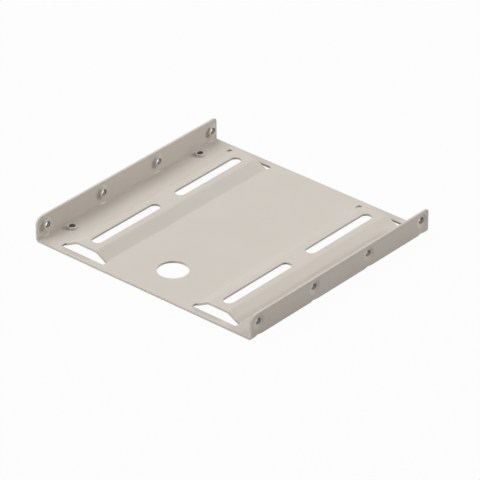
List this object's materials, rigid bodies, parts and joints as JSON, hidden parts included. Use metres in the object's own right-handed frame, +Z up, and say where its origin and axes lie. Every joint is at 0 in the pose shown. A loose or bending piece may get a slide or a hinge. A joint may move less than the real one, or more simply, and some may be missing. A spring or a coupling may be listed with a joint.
{
  "type": "drive bay adapter bracket",
  "caption": "Shallow folded sheet-metal channel with raised slotted pads for a small drive and tapped collars in its flanges, for fixing in a wider bay.",
  "frame": {"origin": "middle of the underside of the floor, in plan", "axes": "+X across the channel towards its right flange, +Y along the channel from the end with the round hole to the other, +Z up from the floor towards the flange tops"},
  "size_m": [0.1016, 0.097, 0.0096],
  "materials": {
    "paint": "satin"
  },
  "bodies": {
    "root": {"bracket": "paint"}
  },
  "joints": []
}
